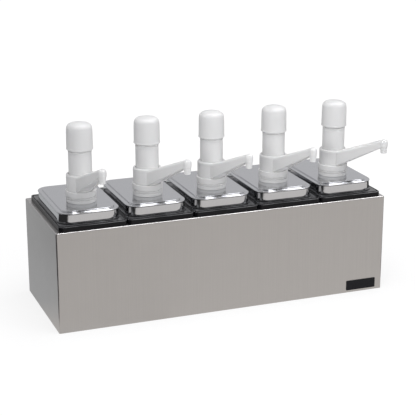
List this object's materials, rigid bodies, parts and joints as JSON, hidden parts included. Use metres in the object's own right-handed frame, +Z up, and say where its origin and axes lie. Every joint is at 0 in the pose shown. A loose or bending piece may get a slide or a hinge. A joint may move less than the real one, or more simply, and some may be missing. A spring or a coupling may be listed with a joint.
{
  "type": "condiment pump dispenser",
  "caption": "Long stainless box holding a row of black drop-in jars, each with a pressed steel lid and a white push pump with a swivelling spout.",
  "frame": {"origin": "middle of the box's footprint, on the counter", "axes": "+X along the row to the right as seen from the front, +Y to the back, +Z up"},
  "size_m": [0.588, 0.2506, 0.3325],
  "materials": {
    "brushed_steel": "fine vertical brushing",
    "polished_steel": "satin top with bright polished lip and skirt",
    "black_plastic": "semi-gloss moulded",
    "white_plastic": "smooth moulded",
    "natural_plastic": "moulded, slightly translucent in the real thing",
    "seal_rubber": "matt",
    "spring_steel": "bright drawn wire and ground ball",
    "plate_black": "gloss black, blank"
  },
  "bodies": {
    "base": {"box_shell": "brushed_steel", "base_pan": "brushed_steel", "nameplate": "plate_black"},
    "jar_1": {"jar_1": "black_plastic"},
    "lid_1": {"lid_1": "polished_steel", "intake_tube_1": "natural_plastic", "lock_collar_1": "white_plastic", "pump_cylinder_1": "white_plastic", "return_spring_1": "spring_steel"},
    "ball_1": {"valve_ball_1": "spring_steel"},
    "spout_1": {"spout_head_1": "white_plastic"},
    "knob_1": {"push_knob_1": "white_plastic", "plunger_1": "natural_plastic", "piston_seal_1": "seal_rubber"},
    "jar_2": {"jar_2": "black_plastic"},
    "lid_2": {"lid_2": "polished_steel", "intake_tube_2": "natural_plastic", "lock_collar_2": "white_plastic", "pump_cylinder_2": "white_plastic", "return_spring_2": "spring_steel"},
    "ball_2": {"valve_ball_2": "spring_steel"},
    "spout_2": {"spout_head_2": "white_plastic"},
    "knob_2": {"push_knob_2": "white_plastic", "plunger_2": "natural_plastic", "piston_seal_2": "seal_rubber"},
    "jar_3": {"jar_3": "black_plastic"},
    "lid_3": {"lid_3": "polished_steel", "intake_tube_3": "natural_plastic", "lock_collar_3": "white_plastic", "pump_cylinder_3": "white_plastic", "return_spring_3": "spring_steel"},
    "ball_3": {"valve_ball_3": "spring_steel"},
    "spout_3": {"spout_head_3": "white_plastic"},
    "knob_3": {"push_knob_3": "white_plastic", "plunger_3": "natural_plastic", "piston_seal_3": "seal_rubber"},
    "jar_4": {"jar_4": "black_plastic"},
    "lid_4": {"lid_4": "polished_steel", "intake_tube_4": "natural_plastic", "lock_collar_4": "white_plastic", "pump_cylinder_4": "white_plastic", "return_spring_4": "spring_steel"},
    "ball_4": {"valve_ball_4": "spring_steel"},
    "spout_4": {"spout_head_4": "white_plastic"},
    "knob_4": {"push_knob_4": "white_plastic", "plunger_4": "natural_plastic", "piston_seal_4": "seal_rubber"},
    "jar_5": {"jar_5": "black_plastic"},
    "lid_5": {"lid_5": "polished_steel", "intake_tube_5": "natural_plastic", "lock_collar_5": "white_plastic", "pump_cylinder_5": "white_plastic", "return_spring_5": "spring_steel"},
    "ball_5": {"valve_ball_5": "spring_steel"},
    "spout_5": {"spout_head_5": "white_plastic"},
    "knob_5": {"push_knob_5": "white_plastic", "plunger_5": "natural_plastic", "piston_seal_5": "seal_rubber"}
  },
  "joints": [
    {"name": "jar_1_lift", "type": "slide", "parent": "base", "child": "jar_1", "axis": [0, 0, 1], "range_m": [0, 0.18]},
    {"name": "lid_1_lift", "type": "slide", "parent": "jar_1", "child": "lid_1", "axis": [0, 0, 1], "range_m": [0, 0.18]},
    {"name": "ball_1_lift", "type": "slide", "parent": "lid_1", "child": "ball_1", "axis": [0, 0, 1], "range_m": [0, 0.0035]},
    {"name": "spout_1_swivel", "type": "hinge", "parent": "lid_1", "child": "spout_1", "pos_m": [-0.23, -0.029, 0.23], "axis": [0, 0, 1], "range_deg": [-43, 37]},
    {"name": "knob_1_press", "type": "slide", "parent": "lid_1", "child": "knob_1", "axis": [0, 0, -1], "range_m": [0, 0.034], "stiffness_N_per_m": 400, "springref_m": -0.02, "deforming": ["return_spring_1"]},
    {"name": "jar_2_lift", "type": "slide", "parent": "base", "child": "jar_2", "axis": [0, 0, 1], "range_m": [0, 0.18]},
    {"name": "lid_2_lift", "type": "slide", "parent": "jar_2", "child": "lid_2", "axis": [0, 0, 1], "range_m": [0, 0.18]},
    {"name": "ball_2_lift", "type": "slide", "parent": "lid_2", "child": "ball_2", "axis": [0, 0, 1], "range_m": [0, 0.0035]},
    {"name": "spout_2_swivel", "type": "hinge", "parent": "lid_2", "child": "spout_2", "pos_m": [-0.115, -0.029, 0.23], "axis": [0, 0, 1], "range_deg": [-58, 22]},
    {"name": "knob_2_press", "type": "slide", "parent": "lid_2", "child": "knob_2", "axis": [0, 0, -1], "range_m": [0, 0.034], "stiffness_N_per_m": 400, "springref_m": -0.02, "deforming": ["return_spring_2"]},
    {"name": "jar_3_lift", "type": "slide", "parent": "base", "child": "jar_3", "axis": [0, 0, 1], "range_m": [0, 0.18]},
    {"name": "lid_3_lift", "type": "slide", "parent": "jar_3", "child": "lid_3", "axis": [0, 0, 1], "range_m": [0, 0.18]},
    {"name": "ball_3_lift", "type": "slide", "parent": "lid_3", "child": "ball_3", "axis": [0, 0, 1], "range_m": [0, 0.0035]},
    {"name": "spout_3_swivel", "type": "hinge", "parent": "lid_3", "child": "spout_3", "pos_m": [0, -0.029, 0.23], "axis": [0, 0, 1], "range_deg": [-53, 27]},
    {"name": "knob_3_press", "type": "slide", "parent": "lid_3", "child": "knob_3", "axis": [0, 0, -1], "range_m": [0, 0.034], "stiffness_N_per_m": 400, "springref_m": -0.02, "deforming": ["return_spring_3"]},
    {"name": "jar_4_lift", "type": "slide", "parent": "base", "child": "jar_4", "axis": [0, 0, 1], "range_m": [0, 0.18]},
    {"name": "lid_4_lift", "type": "slide", "parent": "jar_4", "child": "lid_4", "axis": [0, 0, 1], "range_m": [0, 0.18]},
    {"name": "ball_4_lift", "type": "slide", "parent": "lid_4", "child": "ball_4", "axis": [0, 0, 1], "range_m": [0, 0.0035]},
    {"name": "spout_4_swivel", "type": "hinge", "parent": "lid_4", "child": "spout_4", "pos_m": [0.115, -0.029, 0.23], "axis": [0, 0, 1], "range_deg": [-53, 27]},
    {"name": "knob_4_press", "type": "slide", "parent": "lid_4", "child": "knob_4", "axis": [0, 0, -1], "range_m": [0, 0.034], "stiffness_N_per_m": 400, "springref_m": -0.02, "deforming": ["return_spring_4"]},
    {"name": "jar_5_lift", "type": "slide", "parent": "base", "child": "jar_5", "axis": [0, 0, 1], "range_m": [0, 0.18]},
    {"name": "lid_5_lift", "type": "slide", "parent": "jar_5", "child": "lid_5", "axis": [0, 0, 1], "range_m": [0, 0.18]},
    {"name": "ball_5_lift", "type": "slide", "parent": "lid_5", "child": "ball_5", "axis": [0, 0, 1], "range_m": [0, 0.0035]},
    {"name": "spout_5_swivel", "type": "hinge", "parent": "lid_5", "child": "spout_5", "pos_m": [0.23, -0.029, 0.23], "axis": [0, 0, 1], "range_deg": [-65, 15]},
    {"name": "knob_5_press", "type": "slide", "parent": "lid_5", "child": "knob_5", "axis": [0, 0, -1], "range_m": [0, 0.034], "stiffness_N_per_m": 400, "springref_m": -0.02, "deforming": ["return_spring_5"]}
  ]
}
